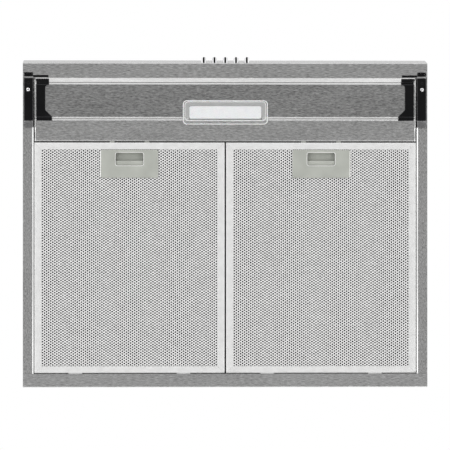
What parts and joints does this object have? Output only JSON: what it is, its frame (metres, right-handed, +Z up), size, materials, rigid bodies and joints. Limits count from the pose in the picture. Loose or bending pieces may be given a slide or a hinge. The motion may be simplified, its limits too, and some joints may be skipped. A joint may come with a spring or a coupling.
{
  "type": "range hood insert",
  "caption": "Slim under-cabinet range hood with front push buttons, lamp in a trough, latched grease filters, scroll fan and duct collar with damper flaps.",
  "frame": {"origin": "centre of the overall outline, level with the open rim that stands on a table", "axes": "+Z up, -Y the front with the buttons, +X to the right of someone facing the hood"},
  "size_m": [0.6, 0.49, 0.168],
  "materials": {
    "hood_steel": "brushed stainless sheet, grain along each strip",
    "roof_steel": "plain sheet of the top and back",
    "bracket_black": "black moulded, slightly glossy",
    "clip_steel": "bare steel",
    "screw_chrome": "bright plated",
    "lamp_clear": "clear moulded cover",
    "diffuser_white": "opal white",
    "lamp_body": "white moulded",
    "circuit_board": "white lacquered board",
    "switch_black": "black moulded",
    "button_chrome": "bright chrome",
    "filter_aluminium": "bright satin aluminium",
    "mesh_aluminium": "expanded aluminium mesh",
    "latch_grey": "grey moulded",
    "fan_plastic": "grey moulded",
    "impeller_plastic": "black moulded",
    "motor_paint": "dark lacquered can",
    "zinc_steel": "zinc plated",
    "collar_black": "black moulded",
    "box_white": "off-white moulded"
  },
  "bodies": {
    "hood": {"back_panel": "roof_steel", "blower_housing": "fan_plastic", "blower_lid": "fan_plastic", "bracket_clip_left": "clip_steel", "bracket_clip_right": "clip_steel", "bracket_screws": "screw_chrome", "cable_gland": "collar_black", "capacitor": "box_white", "collar_screws": "zinc_steel", "corner_bracket_left": "bracket_black", "corner_bracket_right": "bracket_black", "duct_collar": "collar_black", "front_fascia": "hood_steel", "housing_screws": "zinc_steel", "inlet_guard": "fan_plastic", "lamp_cover": "lamp_clear", "lamp_diffuser": "diffuser_white", "lamp_housing": "lamp_body", "lamp_panel": "hood_steel", "led_board": "circuit_board", "motor": "motor_paint", "motor_mount": "zinc_steel", "motor_screws": "zinc_steel", "side_panel_left": "hood_steel", "side_panel_right": "hood_steel", "slope_panel": "hood_steel", "switch_block": "switch_black", "terminal_box": "box_white", "top_panel": "roof_steel"},
    "filter_left": {"filter_frame_left": "filter_aluminium", "filter_face_mesh_left": "mesh_aluminium", "filter_layers_left": "mesh_aluminium", "filter_back_mesh_left": "mesh_aluminium", "latch_plate_left": "latch_grey", "latch_lid_left": "latch_grey", "latch_springs_left": "zinc_steel"},
    "filter_right": {"filter_frame_right": "filter_aluminium", "filter_face_mesh_right": "mesh_aluminium", "filter_layers_right": "mesh_aluminium", "filter_back_mesh_right": "mesh_aluminium", "latch_plate_right": "latch_grey", "latch_lid_right": "latch_grey", "latch_springs_right": "zinc_steel"},
    "latch_left": {"latch_slide_left": "latch_grey"},
    "latch_right": {"latch_slide_right": "latch_grey"},
    "fan_wheel": {"impeller": "impeller_plastic", "motor_shaft": "zinc_steel"},
    "flap_front": {"damper_flap_front": "collar_black"},
    "flap_rear": {"damper_flap_rear": "collar_black"},
    "button_1": {"push_button_1": "button_chrome"},
    "button_2": {"push_button_2": "button_chrome"},
    "button_3": {"push_button_3": "button_chrome"},
    "button_4": {"push_button_4": "button_chrome"},
    "button_5": {"push_button_5": "button_chrome"}
  },
  "joints": [
    {"name": "filter_left_swing", "type": "hinge", "parent": "hood", "child": "filter_left", "pos_m": [-0.14217, 0.2248, 0.0026], "axis": [1, 0, 0], "range_deg": [0, 45]},
    {"name": "latch_left_draw", "type": "slide", "parent": "filter_left", "child": "latch_left", "axis": [0, 1, 0], "range_m": [0, 0.0055], "stiffness_N_per_m": 300, "deforming": ["latch_springs_left"]},
    {"name": "filter_right_swing", "type": "hinge", "parent": "hood", "child": "filter_right", "pos_m": [0.14217, 0.2248, 0.0026], "axis": [1, 0, 0], "range_deg": [0, 45]},
    {"name": "latch_right_draw", "type": "slide", "parent": "filter_right", "child": "latch_right", "axis": [0, 1, 0], "range_m": [0, 0.0055], "stiffness_N_per_m": 300, "deforming": ["latch_springs_right"]},
    {"name": "fan_spin", "type": "hinge", "parent": "hood", "child": "fan_wheel", "pos_m": [-0.109, 0.081, 0.09], "axis": [0, 0, 1], "continuous": true},
    {"name": "flap_front_lift", "type": "hinge", "parent": "hood", "child": "flap_front", "pos_m": [0, 0.1685, 0.14], "axis": [-1, 0, 0], "range_deg": [0, 80]},
    {"name": "flap_rear_lift", "type": "hinge", "parent": "hood", "child": "flap_rear", "pos_m": [0, 0.1755, 0.14], "axis": [1, 0, 0], "range_deg": [0, 80]},
    {"name": "button_1_press", "type": "slide", "parent": "hood", "child": "button_1", "axis": [0, 1, 0], "range_m": [0, 0.003], "stiffness_N_per_m": 400},
    {"name": "button_2_press", "type": "slide", "parent": "hood", "child": "button_2", "axis": [0, 1, 0], "range_m": [0, 0.003], "stiffness_N_per_m": 400},
    {"name": "button_3_press", "type": "slide", "parent": "hood", "child": "button_3", "axis": [0, 1, 0], "range_m": [0, 0.003], "stiffness_N_per_m": 400},
    {"name": "button_4_press", "type": "slide", "parent": "hood", "child": "button_4", "axis": [0, 1, 0], "range_m": [0, 0.003], "stiffness_N_per_m": 400},
    {"name": "button_5_press", "type": "slide", "parent": "hood", "child": "button_5", "axis": [0, 1, 0], "range_m": [0, 0.003], "stiffness_N_per_m": 400}
  ]
}
